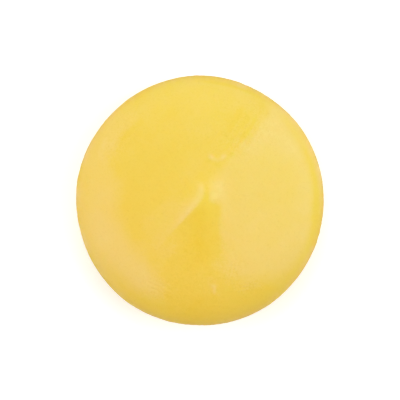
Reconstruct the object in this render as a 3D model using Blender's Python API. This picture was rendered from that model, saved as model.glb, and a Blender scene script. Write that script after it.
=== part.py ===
"""Detailing clay puck: one lump of soft putty, gathered shut on top, cut to weight and pressed round.

Frame: metres, +Z up, origin at the centre of the flat base. Seen from above with +Y away from the
viewer, the pinch lies just right of the centre and beyond it.

The lump is a single solid. Its section is turned about +Z, then the crown is shaped by the gather:
its summit moves over to the pinch, a low cone rises to it, three folds run out from it, the skin
sags between the folds, and a hollow lies in its lee. A short bead of clay stands out of the rim
where the last of the skin was smeared down.
"""

import math
from typing import NamedTuple

import bmesh
import bpy
from mathutils import Vector


class Fold(NamedTuple):
    """A ridge of gathered skin that runs out from the pinch and fades."""

    heading: float
    length: float
    height: float
    half_width: float


# Driving sizes of the pressed lump. The belly is its widest level.
PUCK_DIAMETER = 0.070
PRESSED_HEIGHT = 0.0184
BELLY_SHARE_OF_HEIGHT = 0.47
FOOT_ROLL_SHARE_OF_RADIUS = 0.20

# How square the section is: 2 is an ellipse, and more keeps the face flat further out.
CROWN_FLATNESS = 5.0
CROWN_ROUNDNESS = 2.0
FOOT_ROUNDNESS = 2.2

# The pinch where the lump was gathered shut, as an offset from the puck's centre.
PINCH_OFFSET = (0.0026, 0.0036)
PINCH_HEIGHT = 0.00042
PINCH_SPREAD = 0.0021

# The low cone that the gathering leaves round the pinch.
CONE_RISE = 0.0013
CONE_REACH = 0.0120
CONE_TIP_RADIUS = 0.0012

# The folds, in order of heading, and how far the skin sags between neighbouring folds.
RIGHT_FOLD = Fold(math.radians(47.0), 0.0230, 0.00032, 0.00180)
LONG_FOLD = Fold(math.radians(229.0), 0.0210, 0.00056, 0.00160)
LOWER_FOLD = Fold(math.radians(279.0), 0.0260, 0.00022, 0.00200)
SAG_DEPTH = 0.00034
SAG_DISTANCE = 0.0110

# The hollow between the long and lower folds, where the gathered skin is thinnest.
HOLLOW_HEADING = math.radians(256.0)
HOLLOW_DISTANCE = 0.0064
HOLLOW_DEPTH = 0.00034
HOLLOW_LENGTH = 0.0046
HOLLOW_HALF_WIDTH = 0.0024

# The smeared bead on the rim: heading, level above the belly, and size.
BEAD_HEADING = math.radians(307.0)
BEAD_LEVEL_SHARE_OF_CROWN = 0.34
BEAD_HALF_LENGTH = 0.0040
BEAD_HALF_WIDTH = 0.0016
BEAD_HEIGHT = 0.00026

# Mesh fineness.
TURN_STEPS = 96
FOOT_RINGS = 9
CROWN_RINGS = 38
CURVE_SAMPLES = 2000
WELD_DISTANCE = 0.00001

CLAY_YELLOW = (0.88, 0.62, 0.12, 1.0)
CLAY_ROUGHNESS = 0.42

PUCK_RADIUS = PUCK_DIAMETER / 2
FOOT_ROLL_WIDTH = FOOT_ROLL_SHARE_OF_RADIUS * PUCK_RADIUS
BASE_RADIUS = PUCK_RADIUS - FOOT_ROLL_WIDTH
BELLY_HEIGHT = BELLY_SHARE_OF_HEIGHT * PRESSED_HEIGHT
CROWN_RISE = PRESSED_HEIGHT - BELLY_HEIGHT
PINCH = Vector(PINCH_OFFSET)
FOLDS = (RIGHT_FOLD, LONG_FOLD, LOWER_FOLD)


def clear_scene():
    """Removes every object that the file opened with."""
    for obj in list(bpy.data.objects):
        bpy.data.objects.remove(obj)


def foot_point(share):
    """A point of the rolled edge between the flat base (share 0) and the belly (share 1)."""
    turn = share * math.pi / 2
    power = 2 / FOOT_ROUNDNESS
    out = FOOT_ROLL_WIDTH * math.sin(turn) ** power
    up = BELLY_HEIGHT * (1 - math.cos(turn) ** power)
    return Vector((BASE_RADIUS + out, 0, up))


def crown_point(share):
    """A point of the section between the belly (share 0) and the summit (share 1)."""
    turn = share * math.pi / 2
    out = PUCK_RADIUS * max(math.cos(turn), 0.0) ** (2 / CROWN_FLATNESS)
    up = CROWN_RISE * math.sin(turn) ** (2 / CROWN_ROUNDNESS)
    return Vector((out, 0, BELLY_HEIGHT + up))


def evenly_spaced(curve, count):
    """Points that split a curve, given as a function of a share, into equal lengths."""
    samples = [curve(i / CURVE_SAMPLES) for i in range(CURVE_SAMPLES + 1)]
    lengths = [0.0]
    for before, after in zip(samples, samples[1:]):
        lengths.append(lengths[-1] + (after - before).length)
    points = [samples[0]]
    reached = 0
    for i in range(1, count):
        wanted = lengths[-1] * i / count
        while lengths[reached + 1] < wanted:
            reached += 1
        share = (wanted - lengths[reached]) / (lengths[reached + 1] - lengths[reached])
        points.append(samples[reached].lerp(samples[reached + 1], share))
    return [*points, samples[-1]]


def section_points():
    """Half of the puck's section in the XZ plane, from the base's centre up to the summit."""
    foot = evenly_spaced(foot_point, FOOT_RINGS)
    crown = evenly_spaced(crown_point, CROWN_RINGS)
    summit = Vector((0, 0, PRESSED_HEIGHT))
    return [Vector((0, 0, 0)), *foot, *crown[1:-1], summit]


def bell(distance, spread):
    """1 at no distance, falling off smoothly over about twice the spread."""
    return math.exp(-((distance / spread) ** 2))


def smooth_step(value):
    """0 below 0, 1 above 1, and a smooth rise between."""
    held = min(max(value, 0.0), 1.0)
    return held * held * (3 - 2 * held)


def along_and_across(point, start, heading):
    """How far a point lies from a start along a heading, and how far to its left."""
    ahead = Vector((math.cos(heading), math.sin(heading)))
    left = Vector((-ahead.y, ahead.x))
    return (point - start).dot(ahead), (point - start).dot(left)


def fold_height(point, fold):
    """A fold's height at a point: it swells out of the pinch, then fades and narrows."""
    along, across = along_and_across(point, PINCH, fold.heading)
    share = along / fold.length
    if not 0 < share < 1:
        return 0.0
    swell = smooth_step(4 * share) * (1 - smooth_step(share))
    return fold.height * swell * bell(across, fold.half_width * (1 - 0.4 * share))


def sag_depth(point):
    """How far the skin sags at a point: most halfway between two folds, and none on a fold."""
    from_pinch = point - PINCH
    heading = math.atan2(from_pinch.y, from_pinch.x) % math.tau
    starts = [fold.heading for fold in FOLDS]
    ends = [*starts[1:], starts[0] + math.tau]
    distance = from_pinch.length / SAG_DISTANCE
    depth = 0.0
    for start, end in zip(starts, ends):
        share = (heading - start) % math.tau / (end - start)
        if share < 1:
            depth = SAG_DEPTH * math.sin(math.pi * share) ** 2
    return depth * distance * math.exp(1 - distance)


def hollow_depth(point):
    """The shallow dish in the lee of the pinch, longest away from it."""
    along, across = along_and_across(point, PINCH, HOLLOW_HEADING)
    return HOLLOW_DEPTH * bell(along - HOLLOW_DISTANCE, HOLLOW_LENGTH) * bell(across, HOLLOW_HALF_WIDTH)


def bead_height(point):
    """How far the smeared bead, a short low ridge that follows the rim, stands out of the skin."""
    turn = math.remainder(math.atan2(point.y, point.x) - BEAD_HEADING, math.tau)
    off_level = point.z - BELLY_HEIGHT - BEAD_LEVEL_SHARE_OF_CROWN * CROWN_RISE
    length_fade = bell(turn * PUCK_RADIUS, BEAD_HALF_LENGTH)
    return BEAD_HEIGHT * length_fade * bell(off_level, BEAD_HALF_WIDTH)


def relief_height(point):
    """The crown's relief above the turned section."""
    distance = (point - PINCH).length
    from_tip = math.hypot(distance, CONE_TIP_RADIUS) - CONE_TIP_RADIUS
    cone = CONE_RISE * math.exp(-from_tip / CONE_REACH)
    pinch = PINCH_HEIGHT * bell(distance, PINCH_SPREAD)
    folds = sum(fold_height(point, fold) for fold in FOLDS)
    return cone + pinch + folds - sag_depth(point) - hollow_depth(point)


def clay_material():
    """Yellow putty with a waxy, satin skin."""
    material = bpy.data.materials.new("clay")
    material.use_nodes = True
    shader = material.node_tree.nodes["Principled BSDF"]
    shader.inputs["Base Color"].default_value = CLAY_YELLOW
    shader.inputs["Roughness"].default_value = CLAY_ROUGHNESS
    shader.inputs["Metallic"].default_value = 0.0
    material.diffuse_color = CLAY_YELLOW
    return material


def turned_lump():
    """The section turned about +Z into one closed skin."""
    lump = bmesh.new()
    points = [lump.verts.new(p) for p in section_points()]
    edges = [lump.edges.new(pair) for pair in zip(points, points[1:])]
    bmesh.ops.spin(
        lump,
        geom=points + edges,
        cent=(0, 0, 0),
        axis=(0, 0, 1),
        angle=math.tau,
        steps=TURN_STEPS,
        use_merge=True,
    )
    bmesh.ops.remove_doubles(lump, verts=lump.verts, dist=WELD_DISTANCE)
    bmesh.ops.recalc_face_normals(lump, faces=lump.faces)
    return lump


def smear_bead(lump):
    """Raises the bead out of the rim, square to the skin."""
    lump.normal_update()
    for vert in lump.verts:
        vert.co += vert.normal * bead_height(vert.co)


def gather_crown(lump):
    """Moves the crown's summit over to the pinch and raises the relief, fading out at the belly."""
    for vert in lump.verts:
        if vert.co.z <= BELLY_HEIGHT:
            continue
        inward = 1 - (vert.co.xy.length / PUCK_RADIUS) ** 2
        share = smooth_step((vert.co.z - BELLY_HEIGHT) / CROWN_RISE)
        vert.co.xy += PINCH * inward * inward
        vert.co.z += relief_height(vert.co.xy) * share


def build_clay_puck():
    """The whole object: the turned lump with its rim bead and gathered crown."""
    lump = turned_lump()
    smear_bead(lump)
    gather_crown(lump)
    mesh = bpy.data.meshes.new("clay_puck")
    lump.to_mesh(mesh)
    lump.free()
    mesh.shade_smooth()
    mesh.materials.append(clay_material())
    puck = bpy.data.objects.new("clay_puck", mesh)
    bpy.context.scene.collection.objects.link(puck)
    return puck


clear_scene()
build_clay_puck()
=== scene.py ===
import itertools
import math
import random
from typing import NamedTuple

import bmesh
import bpy
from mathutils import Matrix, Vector, noise


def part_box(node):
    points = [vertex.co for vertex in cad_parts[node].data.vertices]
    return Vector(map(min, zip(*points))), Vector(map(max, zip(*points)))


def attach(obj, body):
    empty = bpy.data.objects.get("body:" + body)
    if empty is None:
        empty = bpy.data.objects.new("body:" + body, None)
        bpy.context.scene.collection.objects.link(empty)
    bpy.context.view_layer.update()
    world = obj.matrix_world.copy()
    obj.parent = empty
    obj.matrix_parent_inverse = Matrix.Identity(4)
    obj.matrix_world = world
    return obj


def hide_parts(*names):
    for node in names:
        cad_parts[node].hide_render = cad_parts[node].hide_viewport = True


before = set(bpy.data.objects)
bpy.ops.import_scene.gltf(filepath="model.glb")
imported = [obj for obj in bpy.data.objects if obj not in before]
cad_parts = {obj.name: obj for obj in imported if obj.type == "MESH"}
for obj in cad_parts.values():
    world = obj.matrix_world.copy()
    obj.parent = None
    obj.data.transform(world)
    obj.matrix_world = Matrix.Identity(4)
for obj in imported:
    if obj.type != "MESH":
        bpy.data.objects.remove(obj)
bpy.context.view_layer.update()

# ------------------------------------------------------------------------------------------------
# The clay puck: one lump of tacky putty with fine abrasive kneaded all the way through. A closing
# iris gathers its skin to a pinch on top and cuts it to weight, then plates press it round.
# Nothing is fixed to it: the pinch, the folds and the rim lip are all shapes of the one lump.
# ------------------------------------------------------------------------------------------------
MM = 0.001
puck_low, puck_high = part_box("clay_puck")
PUCK_RADIUS = (puck_high.x - puck_low.x) / 2
PRESSED_HEIGHT = 18.4 * MM
BELLY_HEIGHT = 0.47 * PRESSED_HEIGHT
CROWN_RISE = PRESSED_HEIGHT - BELLY_HEIGHT
FOOT_ROLL = 7.0 * MM
BASE_RADIUS = PUCK_RADIUS - FOOT_ROLL

# The turned section: how square its crown and its foot are, and how finely each is divided.
CROWN_FLATNESS = 5.0
CROWN_ROUNDNESS = 2.0
FOOT_ROUNDNESS = 2.2
BASE_RINGS = 54
FOOT_RINGS = 32
CROWN_RINGS = 140
TURN_STEPS = 400
CURVE_SAMPLES = 4000
WELD_DISTANCE = 0.001 * MM


def foot_point(share):
    """A point of the rolled edge between the flat base (share 0) and the belly (share 1)."""
    turn = share * math.pi / 2
    power = 2 / FOOT_ROUNDNESS
    out = BASE_RADIUS + FOOT_ROLL * math.sin(turn) ** power
    return Vector((out, 0, BELLY_HEIGHT * (1 - math.cos(turn) ** power)))


def crown_point(share):
    """A point of the section between the belly (share 0) and the summit (share 1)."""
    turn = share * math.pi / 2
    out = PUCK_RADIUS * max(math.cos(turn), 0.0) ** (2 / CROWN_FLATNESS)
    return Vector((out, 0, BELLY_HEIGHT + CROWN_RISE * math.sin(turn) ** (2 / CROWN_ROUNDNESS)))


def evenly_spaced(curve, count):
    """Points that split a curve, given as a function of a share, into equal lengths."""
    samples = [curve(i / CURVE_SAMPLES) for i in range(CURVE_SAMPLES + 1)]
    lengths = [0.0]
    for before, after in zip(samples, samples[1:]):
        lengths.append(lengths[-1] + (after - before).length)
    points = [samples[0]]
    reached = 0
    for i in range(1, count):
        wanted = lengths[-1] * i / count
        while lengths[reached + 1] < wanted:
            reached += 1
        share = (wanted - lengths[reached]) / (lengths[reached + 1] - lengths[reached])
        points.append(samples[reached].lerp(samples[reached + 1], share))
    return [*points, samples[-1]]


section = [Vector((BASE_RADIUS * i / BASE_RINGS, 0, 0)) for i in range(BASE_RINGS)]
section += evenly_spaced(foot_point, FOOT_RINGS)
section += evenly_spaced(crown_point, CROWN_RINGS)[1:-1]
section += [Vector((0, 0, PRESSED_HEIGHT))]

lump = bmesh.new()
profile = [lump.verts.new(point) for point in section]
profile_edges = [lump.edges.new(pair) for pair in zip(profile, profile[1:])]
bmesh.ops.spin(
    lump,
    geom=profile + profile_edges,
    cent=(0, 0, 0),
    axis=(0, 0, 1),
    angle=math.tau,
    steps=TURN_STEPS,
    use_merge=True,
)
bmesh.ops.remove_doubles(lump, verts=lump.verts, dist=WELD_DISTANCE)
bmesh.ops.recalc_face_normals(lump, faces=lump.faces)


# How marks are placed on the skin. A point is seen from above, and a spot also has its height.
def bell(distance, spread):
    """1 at no distance, falling off smoothly over about twice the spread."""
    return math.exp(-((distance / spread) ** 2))


def smooth_step(value):
    """0 below 0, 1 above 1, and a smooth rise between."""
    held = min(max(value, 0.0), 1.0)
    return held * held * (3 - 2 * held)


def rise(value, start, width):
    """0 up to a start, and 1 from a width beyond it."""
    return smooth_step((value - start) / width)


def fall(value, start, width):
    """1 up to a start, and 0 from a width beyond it."""
    return 1 - rise(value, start, width)


def inside_edge(inset, softness):
    """1 well inside an edge, 0 well outside it and a half on it."""
    return smooth_step(0.5 + inset / softness)


def along_and_across(point, start, heading):
    """How far a point lies from a start along a heading, and how far to its left."""
    ahead = Vector((math.cos(heading), math.sin(heading)))
    left = Vector((-ahead.y, ahead.x))
    return (point - start).dot(ahead), (point - start).dot(left)


def heading_of(point, start=Vector((0, 0))):
    """The heading from a start to a point, in degrees from 0 to 360."""
    return math.degrees(math.atan2(point.y - start.y, point.x - start.x)) % 360


def turned_from(heading, centre):
    """Degrees between two headings."""
    return abs(math.remainder(heading - centre, 360))


def near(point, centre, spread):
    """1 at a centre, falling off round it. The centre and the spread are in mm."""
    return bell((point - Vector(centre) * MM).length, spread * MM)


def wobble(point, size, shift):
    """A smooth wander between about -1 and 1 over the puck as seen from above."""
    return noise.noise(Vector((point.x / size, point.y / size, shift)))


def wander(spot, size, shift=(0, 0, 0)):
    """A smooth wander between about -1 and 1 at any spot, a different one for each shift."""
    return noise.noise(spot / size + Vector(shift))


class Oval(NamedTuple):
    """A soft-edged oval patch of skin. Lengths are in mm and the heading in degrees."""

    centre: tuple
    heading: float
    half_length: float
    half_width: float
    edge: float


def within(point, oval):
    """1 inside an oval and 0 outside it, with a soft edge."""
    along, across = along_and_across(point, Vector(oval.centre) * MM, math.radians(oval.heading))
    inside = 1 - math.hypot(along / oval.half_length, across / oval.half_width) / MM
    return smooth_step(0.5 + inside * oval.half_width / (2 * oval.edge))


# The pinch, where the skin was gathered shut, stands on a low cone.
PINCH = Vector((2.6, 3.6)) * MM
CONE_RISE = 1.3 * MM
CONE_REACH = 12.0 * MM
CONE_TIP_RADIUS = 1.4 * MM

# The long fold curls out of the pinch and laps over the wedge of skin below it.
LONG_FOLD_START = Vector((3.4, 4.8)) * MM
LONG_FOLD_HEADING = math.radians(230.0)
LONG_FOLD_LENGTH = 18.5 * MM
LONG_FOLD_OFFSET = -0.1 * MM
LONG_FOLD_CURL = 2.3 * MM
LONG_FOLD_CURL_PLACE = 1.2 * MM
LONG_FOLD_CURL_REACH = 2.5 * MM
LONG_FOLD_HEIGHT = 0.23 * MM
LONG_FOLD_LEE = 1.6 * MM
LONG_FOLD_WINDWARD = 2.4 * MM

# The right sheet of skin ends at an upper and a lower edge, and its corner covers the wedge's tip.
UPPER_EDGE_START = Vector((4.6, 6.6)) * MM
UPPER_EDGE_HEADING = math.radians(54.0)
UPPER_EDGE_LENGTH = 26.0 * MM
UPPER_EDGE_HEIGHT = 0.24 * MM
UPPER_EDGE_SOFTNESS = 4.0 * MM
LOWER_EDGE_START = Vector((5.6, -1.5)) * MM
LOWER_EDGE_HEADING = math.radians(270.5)
LOWER_EDGE_LENGTH = 24.0 * MM
LOWER_EDGE_HEIGHT = 0.16 * MM
LOWER_EDGE_SOFTNESS = 2.8 * MM
SHEET_CORNER = Vector((2.5, -0.4)) * MM
SHEET_CORNER_HEADING = math.radians(-7.0)
SHEET_CORNER_ROUNDING = 1.2 * MM
SHEET_RISE = 0.22 * MM
SHEET_RISE_REACH = 13.0 * MM

# Gathered skin bridges the fold and the sheet, and two hollows run down the wedge between them.
BRIDGE = Oval((2.8, 3.9), 10, 3.2, 1.6, 1.4)
BRIDGE_HEIGHT = 0.16 * MM
NEAR_HOLLOW = Oval((1.6, -5.1), 236, 5.0, 2.8, 2.6)
NEAR_HOLLOW_DEPTH = 0.13 * MM
FAR_HOLLOW = Oval((-0.6, -12.0), 258, 8.5, 4.4, 3.6)
FAR_HOLLOW_DEPTH = 0.14 * MM


def long_fold_place(point):
    """How far along the long fold a point lies, as a share, and how far to the left of its crest."""
    along, across = along_and_across(point, LONG_FOLD_START, LONG_FOLD_HEADING)
    curl = LONG_FOLD_CURL * bell(along - LONG_FOLD_CURL_PLACE, LONG_FOLD_CURL_REACH)
    return along / LONG_FOLD_LENGTH, across + LONG_FOLD_OFFSET + curl


def long_fold_crest(point, lee, windward):
    """1 on the long fold's crest. The lee side laps over the wedge, and the fold narrows as it fades."""
    share, across = long_fold_place(point)
    swell = rise(share, 0.03, 0.16) * fall(share, 0.58, 0.42)
    narrowing = 1 - 0.42 * rise(share, 0.35, 0.5)
    spread = lee if across > 0 else windward
    return swell * bell(across, spread * narrowing)


def edge_ridge(point, start, heading, length, left_spread, right_spread):
    """1 on the ridge along the edge of a sheet of skin, fading along it."""
    along, across = along_and_across(point, start, heading)
    share = along / length
    if not 0 < share < 1:
        return 0.0
    spread = left_spread if across > 0 else right_spread
    return rise(share, 0, 0.2) * fall(share, 0, 1) * bell(across, spread)


def rounded_least(first, second):
    """The smaller of two insets, rounded where they are nearly the same."""
    return (first + second - math.hypot(first - second, SHEET_CORNER_ROUNDING)) / 2


def sheet_insets(point):
    """How far a point lies inside the right sheet's upper edge, and inside its lower edge and corner."""
    inside_upper = -along_and_across(point, UPPER_EDGE_START, UPPER_EDGE_HEADING)[1]
    inside_lower = along_and_across(point, LOWER_EDGE_START, LOWER_EDGE_HEADING)[1]
    above_wedge = along_and_across(point, SHEET_CORNER, SHEET_CORNER_HEADING)[1]
    in_corner = rounded_least(above_wedge, point.x - SHEET_CORNER.x)
    return inside_upper, -rounded_least(-inside_lower, -in_corner)


def crown_relief(point):
    """What the gathering adds to the turned crown."""
    distance = (point - PINCH).length
    from_tip = math.hypot(distance, CONE_TIP_RADIUS) - CONE_TIP_RADIUS
    cone = CONE_RISE * math.exp(-from_tip / CONE_REACH)
    inside_upper, inside_lower = sheet_insets(point)
    sheet = SHEET_RISE * bell(distance, SHEET_RISE_REACH)
    sheet *= inside_edge(inside_lower, LOWER_EDGE_SOFTNESS) * inside_edge(inside_upper, UPPER_EDGE_SOFTNESS)
    folds = LONG_FOLD_HEIGHT * long_fold_crest(point, LONG_FOLD_LEE, LONG_FOLD_WINDWARD)
    folds += LOWER_EDGE_HEIGHT * edge_ridge(
        point, LOWER_EDGE_START, LOWER_EDGE_HEADING, LOWER_EDGE_LENGTH, 4.6 * MM, 1.1 * MM
    )
    folds += UPPER_EDGE_HEIGHT * edge_ridge(
        point, UPPER_EDGE_START, UPPER_EDGE_HEADING, UPPER_EDGE_LENGTH, 1.8 * MM, 5.0 * MM
    )
    bridge = BRIDGE_HEIGHT * within(point, BRIDGE)
    hollows = NEAR_HOLLOW_DEPTH * within(point, NEAR_HOLLOW) + FAR_HOLLOW_DEPTH * within(point, FAR_HOLLOW)
    return cone + sheet + bridge + folds - hollows


# The tone of the skin: 0 is the middle yellow, 1 the palest and -1 the deepest. Pale tone is mostly
# painted sheen, where the soft boxes would shine on the crown, and deep tone is mostly painted shade,
# with the clay's own blotches and streaks among them.
CRESCENT_CENTRE = (4.7, 13.3)
CRESCENT_RADIUS = 2.15 * MM
CRESCENT_WIDTH = 0.62 * MM
CRESCENT_HEADING = 272
SQUIGGLE_CENTRE = (3.9, -24.4)
SQUIGGLE_HEADING = math.radians(302)
SQUIGGLE_SWING = 0.40 * MM
SQUIGGLE_WAVE = 0.55 * MM
SQUIGGLE_HALF_LENGTH = 1.9 * MM
SQUIGGLE_HALF_WIDTH = 0.55 * MM


def crescent(point):
    """The nail-shaped mark above the pinch, strongest at its ends."""
    centre = Vector(CRESCENT_CENTRE) * MM
    turn = turned_from(heading_of(point, centre), CRESCENT_HEADING)
    strength = bell(turn - 50, 24) + 0.5 * bell(turn, 40)
    return strength * bell((point - centre).length - CRESCENT_RADIUS, CRESCENT_WIDTH)


def squiggle(point):
    """The short wavy smear near the lower edge."""
    along, across = along_and_across(point, Vector(SQUIGGLE_CENTRE) * MM, SQUIGGLE_HEADING)
    across += SQUIGGLE_SWING * math.sin(along / SQUIGGLE_WAVE)
    return bell(along, SQUIGGLE_HALF_LENGTH) * bell(across, SQUIGGLE_HALF_WIDTH)


# The right sheet is pale with painted sheen, most in a band beside its upper edge, and two small
# lobes by the pinch carry painted highlights. Its foot is round.
SHEET_TONE = 0.71
SHEET_FOOT_CENTRE = Vector((15.0, -4.0)) * MM
SHEET_FOOT_RADIUS = 18.0 * MM
SHEET_FOOT_SOFTNESS = 6.5 * MM
SHEEN_BAND_TONE = 0.24
SHEEN_BAND_INSET = 3.4 * MM
SHEEN_BAND_SPREAD = 3.0 * MM
UPPER_LOBE = Oval((5.6, 2.8), 96, 2.1, 1.2, 1.1)
UPPER_LOBE_TONE = 0.20
LOWER_LOBE = Oval((3.7, 1.2), 0, 1.2, 1.2, 0.8)
LOWER_LOBE_TONE = 0.26
SHEET_MIDDLE = (21.0, 2.0)
SHEET_MIDDLE_SPREAD = 8.5
SHEET_MIDDLE_TONE = -0.13


def right_sheet_tone(point, reach, sway):
    """The sheet of skin to the right of the pinch, pale with painted sheen, sharper near the pinch."""
    inside_upper, inside_lower = sheet_insets(point)
    lower_softness = 1.3 * MM + 0.013 * reach * reach / MM
    sheet = inside_edge(inside_lower + sway, lower_softness) * inside_edge(inside_upper + sway, 4.4 * MM)
    from_foot_centre = (point - SHEET_FOOT_CENTRE).length if point.y < SHEET_FOOT_CENTRE.y else 0
    sheet *= inside_edge(SHEET_FOOT_RADIUS - from_foot_centre, SHEET_FOOT_SOFTNESS)
    tone = SHEET_TONE + SHEET_MIDDLE_TONE * near(point, SHEET_MIDDLE, SHEET_MIDDLE_SPREAD)
    # Painted highlights on the two lobes by the pinch.
    tone += UPPER_LOBE_TONE * within(point, UPPER_LOBE) + LOWER_LOBE_TONE * within(point, LOWER_LOBE)
    # Painted sheen in a band beside the sheet's upper edge.
    sheen_band = bell(inside_upper - SHEEN_BAND_INSET, SHEEN_BAND_SPREAD) * rise(reach, 10 * MM, 8 * MM)
    return sheet * (tone + SHEEN_BAND_TONE * sheen_band)


# The wedge is deep with painted shade, deepest along a column below the pinch.
WEDGE_TONE = 0.18
WEDGE_LEFT_EDGE = -9.2 * MM
WEDGE_NIP = 2.4 * MM
BLOTCH_TONE = 0.30
COLUMN_TONE = 0.72
COLUMN_X = -0.1 * MM
COLUMN_HALF_WIDTH = 3.4 * MM
COLUMN_FOOT = -18 * MM


def wedge_tone(point, reach, sway):
    """The deep wedge of painted shade between the long fold and the right sheet, blotchy away from the
    pinch.
    """
    share, below_crest = long_fold_place(point)
    below_fold = below_crest - (1.1 - 0.5 * min(max(share, 0), 1)) * MM
    left_of_sheet = -sheet_insets(point)[1] - sway
    softness = 1.1 * MM + 0.010 * reach * reach / MM
    wedge = inside_edge(min(below_fold, left_of_sheet), softness)
    wedge *= inside_edge(point.x - WEDGE_LEFT_EDGE + 2 * sway, 6 * MM)
    below_nip = WEDGE_NIP - point.y
    wedge *= 0.25 * rise(below_nip, 0, 2 * MM) + 0.75 * rise(below_nip, 2.1 * MM, 4 * MM)
    column = bell(point.x - COLUMN_X, COLUMN_HALF_WIDTH) * inside_edge(point.y - COLUMN_FOOT, 7 * MM)
    blotches = wobble(point, 2.6 * MM, 8.0) * rise(reach, 9 * MM, 8 * MM)
    return wedge * (WEDGE_TONE + COLUMN_TONE * column + BLOTCH_TONE * blotches)


# A pale arc of painted sheen runs down the left side, and round the rim painted light makes it pale at the
# top and painted shade makes it deep at the right and below.
PALE_ARC_TONE = 0.62
PALE_ARC_RADIUS = 22.2 * MM
PALE_ARC_LOWER_END = -10.8 * MM
RIM_PATCHES = [
    # tone, radius and its spread in mm, heading and its spread in degrees
    (0.26, 29.5, 3.5, 132, 14),
    (0.18, 31.0, 3.0, 62, 13),
    (0.50, 29.8, 3.9, 31, 14),
    (0.16, 28.0, 5.0, 333, 18),
    (-0.95, 32.3, 1.4, 8, 34),
    (-0.60, 33.0, 0.5, 75, 13),
    (0.24, 32.6, 2.4, 75, 13),
]
RIM_SHADES = [
    # tone, inner radius in mm, heading and its spread in degrees
    (0.06, 25.5, 95, 60),
    (-0.24, 24.5, 275, 36),
]
RIM_SHADE_WIDTH = 5 * MM


def pale_arc_tone(point, radius, turn):
    """The painted sheen down the left side, paler below its middle and weaker towards the rim."""
    inner = PALE_ARC_RADIUS + 5.2 * MM * fall(turn, 154, 16) + 0.7 * MM * wobble(point, 6 * MM, 1.0)
    arc = inside_edge(radius - inner, 6 * MM) * rise(turn, 128, 24)
    arc *= inside_edge(PALE_ARC_LOWER_END - point.x, 7.5 * MM)
    tone = PALE_ARC_TONE + 0.29 * rise(turn, 180, 26) - 0.22 * rise(turn, 230, 14)
    weaker_outside = 1 - rise(radius, 27.6 * MM, 4.8 * MM) * (0.38 + 0.55 * rise(turn, 204, 34))
    return arc * tone * weaker_outside


def rim_tone(point):
    """The painted sheen of the pale arc, the painted light and shade of the patches round the rim, and the
    rim's broad painted shading.
    """
    radius = point.length
    turn = heading_of(point)
    tone = pale_arc_tone(point, radius, turn)
    for strength, place, spread, heading, half_turn in RIM_PATCHES:
        on_ring = bell(radius - place * MM, spread * MM)
        tone += strength * on_ring * bell(turned_from(turn, heading), half_turn)
    for strength, start, heading, half_turn in RIM_SHADES:
        outward = rise(radius, start * MM, RIM_SHADE_WIDTH)
        tone += strength * outward * bell(turned_from(turn, heading), half_turn)
    return tone


# Round spots, ovals and streaked patches that are paler (above 0) or deeper than what is round them.
SPOTS = [
    # tone, centre, spread; lengths in mm
    (0.14, (5.2, 3.4), 3.6),
    (-0.22, (-1.6, 2.8), 3.6),
    (-0.22, (-20.0, -2.0), 4.0),
    (0.14, (-1.0, 19.0), 12.0),
    (-0.20, (17.0, -25.0), 3.4),
    (-0.18, (8.0, -20.0), 3.0),
]
OVALS = [
    (0.14, Oval((2.2, 3.6), 20, 2.2, 1.4, 0.9)),
    (0.38, Oval((-9.2, -13.0), 250, 4.6, 3.0, 2.6)),
]
# Most streaked patches lie over the crinkle patches, as painted light and shade on their lines.
STREAKS = [
    # tone, centre, heading in degrees, half length, half width, spacing; lengths in mm
    (-0.60, (10.1, 21.8), 60, 3.6, 1.2, 4.0),
    (-0.50, (13.2, 18.6), 56, 6.0, 2.8, 2.0),
    (-0.50, (-19.0, 18.4), 45, 4.0, 1.6, 3.4),
    (0.35, (-26.4, 14.6), 75, 3.6, 1.2, 3.4),
    (0.55, (13.4, -23.7), 4, 2.9, 1.5, 0.95),
    (0.22, (8.8, -19.0), 80, 2.6, 1.4, 1.1),
    (0.22, (-10.6, -24.4), 150, 4.0, 2.2, 1.3),
    (0.30, (-0.4, 32.2), 0, 1.6, 0.7, 3.0),
]
FOLD_CREST_TONE = 0.50
FOLD_SLOPE_TONE = 0.45
FOLD_FLANK = Oval((-7.6, -5.9), 227, 9.5, 4.4, 3.2)
FOLD_FLANK_TONE = 0.34
CRESCENT_TONE = 0.95
SQUIGGLE_TONE = 0.75
TONE_LIMIT = 1.3


def streaked(point, centre, heading, half_length, half_width, spacing):
    """A patch of streaks that turn pale and deep in turn across a heading."""
    along, across = along_and_across(point, Vector(centre) * MM, math.radians(heading))
    window = bell(along, half_length * MM) * bell(across, half_width * MM)
    across += 0.6 * MM * wobble(point, 3.0 * MM, 4.0)
    return window * (0.55 + 0.45 * math.sin(math.tau * across / (spacing * MM)))


def skin_tone(point, height):
    """The tone of the crown, fading out towards the belly."""
    reach = (point - PINCH).length
    sway = 0.10 * wobble(point, 4.0 * MM, 0.0) * min(reach, 18 * MM)
    tone = right_sheet_tone(point, reach, sway) - wedge_tone(point, reach, sway) + rim_tone(point)
    # Painted highlight along the long fold's crest and upper slope, and painted sheen on its flank above.
    tone += FOLD_CREST_TONE * long_fold_crest(point, 0.8 * MM, 1.2 * MM)
    tone += FOLD_SLOPE_TONE * long_fold_crest(point, 1.0 * MM, 2.6 * MM)
    above_fold = fall(long_fold_place(point)[1], -0.4 * MM, 1.0 * MM)
    tone += FOLD_FLANK_TONE * within(point, FOLD_FLANK) * above_fold
    tone += CRESCENT_TONE * crescent(point) + SQUIGGLE_TONE * squiggle(point)
    tone += sum(strength * near(point, centre, spread) for strength, centre, spread in SPOTS)
    tone += sum(strength * within(point, oval) for strength, oval in OVALS)
    tone += sum(strength * streaked(point, *streak) for strength, *streak in STREAKS)
    on_crown = rise(height, BELLY_HEIGHT, 0.42 * CROWN_RISE)
    return min(max(tone, -TONE_LIMIT), TONE_LIMIT) * on_crown


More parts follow.
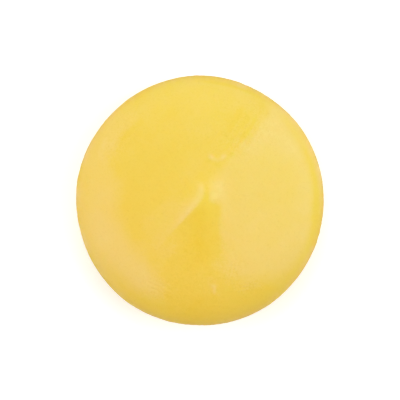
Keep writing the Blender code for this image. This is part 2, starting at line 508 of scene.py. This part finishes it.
# Marks that handling left in the crown: patches of crinkles and crossing wrinkles, two smears and
# small dents.
CRINKLES = [
    # centre, heading of the lines in degrees, spacing, half length, half width, height; lengths in mm
    ((12.4, 18.6), 57, 1.5, 6.5, 4.2, 0.060),
    ((13.4, -23.7), 4, 0.95, 3.2, 1.6, 0.095),
    ((8.8, -19.0), 80, 1.10, 2.6, 1.6, 0.050),
    ((-10.6, -24.6), 150, 1.1, 4.0, 2.4, 0.050),
    ((-22.5, 16.6), 55, 1.4, 5.0, 2.6, 0.030),
]
CRUMPLED_WEDGE = Oval((-1.0, -17.0), 90, 13.0, 8.5, 5.0)
CRUMPLE_HEIGHT = 0.10 * MM
CRUMPLE_LENGTH = 1.9 * MM
CRUMPLE_WIDTH = 1.3 * MM
CRESCENT_HEIGHT = 0.16 * MM
SQUIGGLE_HEIGHT = 0.14 * MM


def crinkle_height(point):
    """The parallel lines of the crinkle patches."""
    total = 0.0
    for centre, heading, spacing, half_length, half_width, height in CRINKLES:
        along, across = along_and_across(point, Vector(centre) * MM, math.radians(heading))
        window = bell(along, half_length * MM) * bell(across, half_width * MM)
        if window < 0.02:
            continue
        across += 0.55 * spacing * MM * wander(Vector((along, 1.5 * across, 0)), 2.2 * MM)
        total += height * MM * window * math.sin(math.tau * across / (spacing * MM))
    return total


def crinkled(point):
    """How finely crinkled the skin is: most in the crinkle patches, some in the wedge and below it."""
    amount = 0.25 + 0.6 * within(point, CRUMPLED_WEDGE)
    for centre, heading, _, half_length, half_width, _ in CRINKLES:
        along, across = along_and_across(point, Vector(centre) * MM, math.radians(heading))
        amount += bell(along, 1.3 * half_length * MM) * bell(across, 1.3 * half_width * MM)
    return min(amount, 1.0)


def crumple_height(point):
    """Short crossing wrinkles, where the skin is crinkled."""
    ridge = 0.22 - abs(noise.noise(Vector((point.x / CRUMPLE_LENGTH, point.y / CRUMPLE_WIDTH, 2.0))))
    return CRUMPLE_HEIGHT * ridge * crinkled(point)


def smear_height(point):
    """The nail-shaped mark and the wavy smear stand a little proud."""
    return CRESCENT_HEIGHT * crescent(point) + SQUIGGLE_HEIGHT * squiggle(point)


class Dent(NamedTuple):
    """A small round dent (height below 0) or pimple."""

    centre: Vector
    spread: float
    height: float


random.seed(7)
DENT_COUNT = 240
DENT_FIELD_SHARE = 0.76
DENT_CELL = 2.5 * MM


def cells_round(place, reach):
    """The grid cells along one axis that lie within reach of a place."""
    return range(math.floor((place - reach) / DENT_CELL), math.floor((place + reach) / DENT_CELL) + 1)


# Each cell of a square grid lists the dents that reach it, so that a point looks only at those.
dents_near = {}
for _ in range(DENT_COUNT):
    dent_turn = random.uniform(0, math.tau)
    dent_out = PUCK_RADIUS * math.sqrt(random.uniform(0, DENT_FIELD_SHARE))
    dent = Dent(
        centre=Vector((dent_out * math.cos(dent_turn), dent_out * math.sin(dent_turn))),
        spread=random.uniform(0.28, 0.62) * MM,
        height=random.uniform(-0.07, 0.035) * MM,
    )
    reach = 2 * dent.spread
    for cell in itertools.product(cells_round(dent.centre.x, reach), cells_round(dent.centre.y, reach)):
        dents_near.setdefault(cell, []).append(dent)


def dent_height(point):
    """The dents and pimples at a point."""
    nearby = dents_near.get((point.x // DENT_CELL, point.y // DENT_CELL), ())
    return sum(dent.height * bell((point - dent.centre).length, dent.spread) for dent in nearby)


# The rim lip: a short thin smear of clay that stands out of the rim, ragged along its edge.
LIP_HEADING = math.radians(307.0)
LIP_HALF_LENGTH = 4.0 * MM
LIP_HALF_WIDTH = 1.3 * MM
LIP_HEIGHT = 0.26 * MM
LIP_LEVEL = BELLY_HEIGHT + 0.34 * CROWN_RISE
LIP_TONE = 0.9


def lip_share(spot):
    """1 on the lip's crest and 0 away from it."""
    along = math.remainder(math.atan2(spot.y, spot.x) - LIP_HEADING, math.tau) * PUCK_RADIUS
    ragged = 0.75 + 0.9 * noise.noise(Vector((along / (0.9 * MM), spot.z / (1.4 * MM), 5)))
    off_level = spot.z - LIP_LEVEL - 0.5 * MM * noise.noise(Vector((along / (1.8 * MM), 0, 3)))
    return bell(along, LIP_HALF_LENGTH) * bell(off_level, LIP_HALF_WIDTH) * ragged


# Rim creases: short, shallow cracks round the belly, where the pressed skin stretched.
CREASE_COUNT = 34
DEEP_CREASE = 0.20 * MM


class Crease(NamedTuple):
    """A short crack round the side, at a level above the base and sloping a little along its length."""

    heading: float
    level: float
    slope: float
    half_length: float
    half_width: float
    depth: float


CREASES = []
for _ in range(CREASE_COUNT):
    CREASES.append(
        Crease(
            heading=random.uniform(0, math.tau),
            level=random.uniform(0.12, 0.95) * BELLY_HEIGHT + random.choice((0, 1)) * 0.25 * CROWN_RISE,
            slope=random.uniform(-0.35, 0.35),
            half_length=random.uniform(1.2, 4.2) * MM,
            half_width=random.uniform(0.30, 0.50) * MM,
            depth=random.uniform(0.10, 0.26) * MM,
        )
    )


def crease_depth(spot):
    """How deep the rim creases are at a spot."""
    turn = math.atan2(spot.y, spot.x)
    total = 0.0
    for crease in CREASES:
        along = math.remainder(turn - crease.heading, math.tau) * PUCK_RADIUS
        if abs(along) > 2 * crease.half_length:
            continue
        sway = 0.5 * MM * noise.noise(Vector((along / (1.6 * MM), crease.level / MM, 6)))
        off_level = spot.z - crease.level - crease.slope * along - sway
        total += crease.depth * bell(along, crease.half_length) * bell(off_level, crease.half_width)
    return total


# The sides: faint upright lines, where the skin was drawn towards the pinch, and puckers at the foot.
# The skin there is blotchy, streaked where it was drawn, and darkened with painted shade in the creases.
DRAWN_LINE_HEIGHT = 0.11 * MM
PUCKER_HEIGHT = 0.24 * MM
PUCKER_LEVEL = 1.7 * MM
SIDE_START_SHARE = 0.8


def round_rim(spot):
    """The place on the rim's circle nearest to a spot, so that lines run straight up the side."""
    return Vector((spot.x, spot.y, 0)).normalized() * PUCK_RADIUS


def side_lines(spot):
    """The drawn lines and the foot's puckers, as heights."""
    rim = round_rim(spot)
    drawn = wander(rim, 0.75 * MM, (0, 0, spot.z / (7 * MM)))
    patchy = smooth_step(0.5 + 1.4 * wander(rim, 8 * MM, (0, 0, spot.z / (9 * MM))))
    on_side = bell(spot.z - BELLY_HEIGHT, 6.5 * MM)
    pucker = wander(rim, 1.5 * MM, (4, 4, spot.z / (4 * MM))) * bell(spot.z - PUCKER_LEVEL, 1.5 * MM)
    return DRAWN_LINE_HEIGHT * drawn * patchy * on_side + PUCKER_HEIGHT * pucker


def side_tone(spot):
    """The tone of the sides, which takes over where the crown's tone fades."""
    if spot.xy.length < SIDE_START_SHARE * PUCK_RADIUS and spot.z > BELLY_HEIGHT:
        return 0.0
    drawn = wander(round_rim(spot), 0.9 * MM, (3, 0, spot.z / (8 * MM)))
    blotches = wander(spot, 4.5 * MM, (5, 1, 8))
    below_top = fall(spot.z, BELLY_HEIGHT + 0.22 * CROWN_RISE, 0.4 * CROWN_RISE)
    # The creases are deepened with painted shade.
    return below_top * (0.55 * drawn + 0.80 * blotches - 1.2 * crease_depth(spot) / DEEP_CREASE)


# The base: the cutter gathered it too, so shallow creases run out from a small dimple in its middle.
BASE_CREASE_COUNT = 15
BASE_LEVEL = 0.02 * MM
DIMPLE_DEPTH = 0.30 * MM
DIMPLE_SPREAD = 3.2 * MM


class BaseCrease(NamedTuple):
    """A crease that runs out from the middle of the base."""

    heading: float
    length: float
    half_width: float
    depth: float


BASE_CREASES = []
for i in range(BASE_CREASE_COUNT):
    BASE_CREASES.append(
        BaseCrease(
            heading=math.radians(360 / BASE_CREASE_COUNT * i + random.uniform(-9, 9)),
            length=random.uniform(5.0, 16.0) * MM,
            half_width=random.uniform(0.35, 0.7) * MM,
            depth=random.uniform(0.12, 0.28) * MM,
        )
    )


def base_recess(point):
    """How far the base stands off the table at a point."""
    recess = DIMPLE_DEPTH * bell(point.length, DIMPLE_SPREAD)
    for crease in BASE_CREASES:
        along, across = along_and_across(point, Vector((0, 0)), crease.heading)
        share = along / crease.length
        if 0 < share < 1:
            across += 0.7 * MM * wobble(point, 3 * MM, crease.heading)
            swell = rise(share, 0, 0.25) * fall(share, 0, 1)
            recess += crease.depth * swell * bell(across, crease.half_width + 0.4 * MM * share)
    pits = max(wobble(point, 2.4 * MM, 11.0) - 0.25, 0) * 0.12 * MM
    hollows = max(wobble(point, 9 * MM, 12.0) - 0.1, 0) * 0.16 * MM
    return recess + pits + hollows


# The skin's warmth, and the painted shade and painted highlight, which tint the clay.
ORANGE_GRADIENT_HEADING = math.radians(52.0)
ORANGE_GRADIENT_WIDTH = 44 * MM
WARM_RIM = 0.70
COOL_RIM_HEADING = 190
PINCH_HIGHLIGHT_CENTRE = (2.2, 1.2)
PINCH_HIGHLIGHT_REACH = 4.2


def skin_warmth(spot):
    """The clay is tinted more orange across the puck towards the lower left, and round its rim."""
    ahead = Vector((math.cos(ORANGE_GRADIENT_HEADING), math.sin(ORANGE_GRADIENT_HEADING)))
    along_orange_gradient = min(max(0.5 - spot.xy.dot(ahead) / ORANGE_GRADIENT_WIDTH, 0.0), 1.0)
    cool_side = bell(turned_from(heading_of(spot.xy), COOL_RIM_HEADING), 40)
    rim = WARM_RIM * (1 - 0.7 * cool_side) * fall(spot.z, BELLY_HEIGHT + 2.8 * MM, 3 * MM)
    return along_orange_gradient + rim


def skin_painted_shade(spot):
    """Painted shade, a browner darkening: most round and below the belly, where the side turns from the
    light, less towards the foot, and in the creases and the base's recesses.
    """
    below_belly = fall(spot.z, BELLY_HEIGHT - 0.4 * MM, 4.8 * MM)
    less_shade_at_foot = 1 - 0.4 * fall(spot.z, BELLY_HEIGHT - 5 * MM, 5 * MM)
    edge_shade_band = 0.15 * bell(spot.z - BELLY_HEIGHT - 1.0 * MM, 1.8 * MM)
    patches = 0.80 + 0.55 * wander(spot, 4 * MM, (2, 2, 2))
    painted_shade = (below_belly * less_shade_at_foot + edge_shade_band) * patches + 0.7 * crease_depth(spot) / DEEP_CREASE
    if spot.z < BASE_LEVEL:
        painted_shade += base_recess(spot.xy) / DEEP_CREASE
    return painted_shade


def skin_pinch_highlight(spot):
    """Painted highlight: how much lighter and fresher a yellow the skin is painted over the pinch, where
    light falls on it.
    """
    return near(spot.xy, PINCH_HIGHLIGHT_CENTRE, PINCH_HIGHLIGHT_REACH) if spot.z > BELLY_HEIGHT else 0.0


def skin_relief(spot):
    """The lump's own unevenness, square to the skin, at any spot on it."""
    broad = 0.16 * MM * wander(spot, 13 * MM)
    middle = 0.045 * MM * wander(spot, 5.0 * MM, (7, 3, 1))
    fine = 0.014 * MM * wander(spot, 1.7 * MM, (1, 9, 4))
    pits = 0.12 * MM * max(wander(spot, 1.1 * MM, (3, 6, 2)) - 0.38, 0)
    return broad + middle + fine - pits


def out_of_round(turn):
    """The plates leave the lump a little longer one way, with a faint five-sided wander."""
    return 1 - 0.0040 * math.cos(2 * turn) + 0.0020 * math.sin(5 * turn)


# The turned lump is gathered, its skin's tints are written on it, and then its marks are raised.
lump.verts.ensure_lookup_table()
tone_layer = lump.verts.layers.float.new("tone")
warmth_layer = lump.verts.layers.float.new("warmth")
painted_shade_layer = lump.verts.layers.float.new("painted_shade")
pinch_highlight_layer = lump.verts.layers.float.new("pinch_highlight")
crinkle_layer = lump.verts.layers.float.new("crinkled")
SIDE_CRINKLE = 0.8
for vert in lump.verts:
    vert.co.xy *= out_of_round(math.atan2(vert.co.y, vert.co.x))
    if vert.co.z > BELLY_HEIGHT:
        inward = max(1 - (vert.co.xy.length / PUCK_RADIUS) ** 2, 0)
        share = rise(vert.co.z, BELLY_HEIGHT, CROWN_RISE)
        vert.co.xy += PINCH * inward * inward
        vert.co.z += crown_relief(vert.co.xy) * share
    vert[tone_layer] = skin_tone(vert.co.xy, vert.co.z) + side_tone(vert.co) + LIP_TONE * lip_share(vert.co)
    vert[warmth_layer] = skin_warmth(vert.co)
    vert[painted_shade_layer] = skin_painted_shade(vert.co)
    vert[pinch_highlight_layer] = skin_pinch_highlight(vert.co)
    vert[crinkle_layer] = crinkled(vert.co.xy) if vert.co.z > BELLY_HEIGHT else SIDE_CRINKLE


def marks_height(spot):
    """Every mark that stands out of the skin or is pressed into it, square to the skin."""
    height = skin_relief(spot)
    if spot.z > BELLY_HEIGHT:
        height += crinkle_height(spot.xy) + smear_height(spot.xy) + dent_height(spot.xy)
        height += crumple_height(spot.xy)
    if spot.xy.length > SIDE_START_SHARE * PUCK_RADIUS and spot.z > 0:
        height += side_lines(spot) + LIP_HEIGHT * lip_share(spot) - crease_depth(spot)
    return height


# The foot stays on the table: marks near it move the skin sideways only, and the base's own
# recesses end before its edge.
SETTLED_HEIGHT = 1.5 * MM
BASE_BORDER = 3 * MM
lump.normal_update()
moves = [vert.normal * marks_height(vert.co) for vert in lump.verts]
for vert, move in zip(lump.verts, moves):
    off_table = rise(vert.co.z, 0, SETTLED_HEIGHT)
    on_base = fall(vert.co.xy.length, BASE_RADIUS - BASE_BORDER, BASE_BORDER)
    vert.co += Vector((move.x, move.y, move.z * off_table))
    if vert.co.z < BASE_LEVEL:
        vert.co.z = base_recess(vert.co.xy) * on_base
lump.normal_update()

puck_mesh = bpy.data.meshes.new("clay_puck_skin")
lump.to_mesh(puck_mesh)
lump.free()
puck_mesh.shade_smooth()
puck = bpy.data.objects.new("clay_puck_skin", puck_mesh)
bpy.context.scene.collection.objects.link(puck)

# The clay itself: waxy yellow putty, a little translucent, with a satin skin and fine grit. Its
# colour runs from the deepest to the palest yellow along the tone, and the tints multiply it.
DEEPEST_YELLOW = (0.890, 0.634, 0.031, 1)
MIDDLE_YELLOW = (0.902, 0.666, 0.0715, 1)
PALE_YELLOW = (0.920, 0.695, 0.175, 1)
PALEST_YELLOW = (0.945, 0.735, 0.210, 1)
WARM_TINT = (1.0, 0.91, 0.90, 1)
PINCH_HIGHLIGHT_TINT = (1.05, 1.08, 1.0, 1)
GRIT_TINT = (0.945, 0.930, 0.85, 1)
CRINKLE_SHADOW_TINT = (0.91, 0.89, 0.82, 1)
PAINTED_SHADE_BROWN = (0.56, 0.31, 0.075, 1)
PAINTED_SHADE_STRENGTH = 0.32

clay = bpy.data.materials.new("waxy_yellow_clay")
clay.use_nodes = True
nodes, links = clay.node_tree.nodes, clay.node_tree.links
nodes.clear()
output = nodes.new("ShaderNodeOutputMaterial")
shader = nodes.new("ShaderNodeBsdfPrincipled")
links.new(shader.outputs["BSDF"], output.inputs["Surface"])
coords = nodes.new("ShaderNodeTexCoord")


def noise_texture(scale, detail, roughness, distortion=0.0):
    """A noise pattern through the solid clay."""
    texture = nodes.new("ShaderNodeTexNoise")
    texture.inputs["Scale"].default_value = scale
    texture.inputs["Detail"].default_value = detail
    texture.inputs["Roughness"].default_value = roughness
    texture.inputs["Distortion"].default_value = distortion
    links.new(coords.outputs["Object"], texture.inputs["Vector"])
    return texture.outputs["Fac"]


def maths(operation, first, second, third=None, clamp=False):
    """One step of arithmetic on sockets or plain numbers."""
    node = nodes.new("ShaderNodeMath")
    node.operation = operation
    node.use_clamp = clamp
    for socket, value in zip(node.inputs, (first, second, third)):
        if value is None:
            continue
        if isinstance(value, (int, float)):
            socket.default_value = value
        else:
            links.new(value, socket)
    return node.outputs["Value"]


def swing(pattern, strength):
    """A pattern's swing to each side of its middle."""
    return maths("MULTIPLY_ADD", pattern, strength, -strength / 2)


def skin_attribute(name):
    """One of the values written on the skin above."""
    attribute = nodes.new("ShaderNodeAttribute")
    attribute.attribute_name = name
    return attribute.outputs["Fac"]


def mixed(blend, factor, first, second):
    """A colour blended towards a plain one."""
    node = nodes.new("ShaderNodeMix")
    node.data_type = "RGBA"
    node.blend_type = blend
    node.inputs["B"].default_value = second
    links.new(factor, node.inputs["Factor"])
    links.new(first, node.inputs["A"])
    return node.outputs["Result"]


mottle = noise_texture(160, 4, 0.6, 0.8)
cloud = noise_texture(55, 3, 0.5, 0.4)
grain = noise_texture(2600, 3, 0.6)
crinkle = noise_texture(1150, 3, 0.6, 1.6)
crinkle_depth = maths("MULTIPLY", maths("SUBTRACT", crinkle, 0.5), skin_attribute("crinkled"))
# The tone's pale end carries painted sheen and its deep end carries painted shade, among the clay's own
# mottling.
position = maths("MULTIPLY_ADD", skin_attribute("tone"), 0.4, 0.5)
for pattern, strength in ((mottle, 0.28), (cloud, 0.32), (grain, 0.10)):
    position = maths("ADD", position, swing(pattern, strength))
# Painted shade and light on the crinkles: their hollows are deeper in tone and their crests paler.
position = maths("ADD", position, maths("MULTIPLY", crinkle_depth, 0.52))
ramp = nodes.new("ShaderNodeValToRGB")
ramp.color_ramp.elements[0].color = DEEPEST_YELLOW
ramp.color_ramp.elements[1].color = PALEST_YELLOW
ramp.color_ramp.elements.new(0.5).color = MIDDLE_YELLOW
ramp.color_ramp.elements.new(0.9).color = PALE_YELLOW
links.new(position, ramp.inputs["Fac"])
colour = mixed("MULTIPLY", skin_attribute("warmth"), ramp.outputs["Color"], WARM_TINT)
# Painted highlight: the skin over the pinch is lightened.
colour = mixed("MULTIPLY", skin_attribute("pinch_highlight"), colour, PINCH_HIGHLIGHT_TINT)

# Fine abrasive shows as darker specks, and the skin's small crinkles hold a little shadow.
grit = maths("MULTIPLY_ADD", noise_texture(1900, 2, 0.5), 3.2, -1.75, clamp=True)
colour = mixed("MULTIPLY", grit, colour, GRIT_TINT)
shadowed = maths("MULTIPLY_ADD", crinkle_depth, -2.2, 0.0, clamp=True)
colour = mixed("MULTIPLY", shadowed, colour, CRINKLE_SHADOW_TINT)
# Painted shade: browner and darker round and below the belly, in the creases and in the base's recesses.
painted_shade_amount = maths("MULTIPLY", skin_attribute("painted_shade"), PAINTED_SHADE_STRENGTH, clamp=True)
colour = mixed("MIX", painted_shade_amount, colour, PAINTED_SHADE_BROWN)
links.new(colour, shader.inputs["Base Color"])

# A satin skin, smudged where it was handled, that lets a little light in.
smudge = noise_texture(90, 4, 0.55, 1.0)
links.new(maths("MULTIPLY_ADD", smudge, 0.24, 0.44), shader.inputs["Roughness"])
shader.inputs["IOR"].default_value = 1.47
shader.inputs["Subsurface Weight"].default_value = 0.25
shader.inputs["Subsurface Radius"].default_value = (1.0, 0.55, 0.16)
shader.inputs["Subsurface Scale"].default_value = 2.0 * MM

bump = nodes.new("ShaderNodeBump")
bump.inputs["Strength"].default_value = 0.35
bump.inputs["Distance"].default_value = 0.06 * MM
height = maths("ADD", maths("MULTIPLY", grain, 0.35), noise_texture(900, 4, 0.65))
height = maths("ADD", height, maths("MULTIPLY", crinkle_depth, 1.2))
links.new(height, bump.inputs["Height"])
links.new(bump.outputs["Normal"], shader.inputs["Normal"])
puck_mesh.materials.append(clay)

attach(puck, "root")
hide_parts("clay_puck")

# ------------------------------------------------------------------------------------------------
# The studio: a pale table of matt paper, soft boxes overhead and on each side, and a camera that
# looks straight down. The table glows a little, so that it stays near white round the puck.
# ------------------------------------------------------------------------------------------------
TABLE_HALF_SIZE = 1.2
TABLE_GLOW = 0.30
table_shape = bmesh.new()
bmesh.ops.create_grid(table_shape, x_segments=2, y_segments=2, size=TABLE_HALF_SIZE)
table_mesh = bpy.data.meshes.new("table")
table_shape.to_mesh(table_mesh)
table_shape.free()
table = bpy.data.objects.new("table", table_mesh)
bpy.context.scene.collection.objects.link(table)
table_paint = bpy.data.materials.new("table_white")
table_paint.use_nodes = True
table_shader = table_paint.node_tree.nodes["Principled BSDF"]
table_shader.inputs["Base Color"].default_value = (0.93, 0.93, 0.93, 1)
table_shader.inputs["Roughness"].default_value = 0.9
table_shader.inputs["Emission Color"].default_value = (1, 1, 1, 1)
table_shader.inputs["Emission Strength"].default_value = TABLE_GLOW
table_mesh.materials.append(table_paint)
table.visible_glossy = False


def soft_box(name, place, size, power):
    """A square soft box, in metres and watts, turned to face the puck."""
    light = bpy.data.lights.new(name, "AREA")
    light.shape = "RECTANGLE"
    light.size = size
    light.size_y = size
    light.energy = power
    lamp = bpy.data.objects.new(name, light)
    lamp.location = place
    lamp.rotation_euler = (Vector((0, 0, 0)) - Vector(place)).to_track_quat("-Z", "Y").to_euler()
    bpy.context.scene.collection.objects.link(lamp)


soft_box("left_low_box", (-1.15, 0.0, 0.55), 0.6, 3.55)
soft_box("left_high_box", (-0.85, 0.0, 1.0), 0.7, 1.4)
soft_box("right_low_box", (1.15, 0.0, 0.55), 0.6, 1.8)
soft_box("right_high_box", (0.85, 0.0, 1.0), 0.7, 3.9)
soft_box("back_box", (0.0, 0.88, 0.95), 0.7, 3.45)
soft_box("overhead_box", (0.0, 0.0, 1.3), 0.9, 2.3)

# The room: dim white light from all round, and a white backdrop where the camera sees past the table.
ROOM_LIGHT = 0.39
world = bpy.data.worlds.new("studio")
world.use_nodes = True
world_nodes, world_links = world.node_tree.nodes, world.node_tree.links
room = world_nodes["Background"]
room.inputs["Color"].default_value = (1, 1, 1, 1)
room.inputs["Strength"].default_value = ROOM_LIGHT
backdrop = world_nodes.new("ShaderNodeBackground")
backdrop.inputs["Color"].default_value = (1, 1, 1, 1)
seen = world_nodes.new("ShaderNodeLightPath")
choice = world_nodes.new("ShaderNodeMixShader")
world_links.new(seen.outputs["Is Camera Ray"], choice.inputs["Fac"])
world_links.new(room.outputs["Background"], choice.inputs[1])
world_links.new(backdrop.outputs["Background"], choice.inputs[2])
world_links.new(choice.outputs["Shader"], world_nodes["World Output"].inputs["Surface"])
bpy.context.scene.world = world

# The camera: a long lens over the middle of the puck, high enough that the puck fills its share.
LENS = 100.0
SENSOR = 36.0
PUCK_SHARE_OF_VIEW = 0.621
VIEW_WIDTH = 2 * PUCK_RADIUS / PUCK_SHARE_OF_VIEW
VIEW_CENTRE_Y = 0.2 * MM
camera_data = bpy.data.cameras.new("camera")
camera_data.lens = LENS
camera_data.sensor_width = SENSOR
camera = bpy.data.objects.new("camera", camera_data)
camera.location = (0, VIEW_CENTRE_Y, BELLY_HEIGHT + VIEW_WIDTH * LENS / SENSOR)
bpy.context.scene.collection.objects.link(camera)
bpy.context.scene.camera = camera
bpy.context.scene.view_settings.view_transform = "Standard"
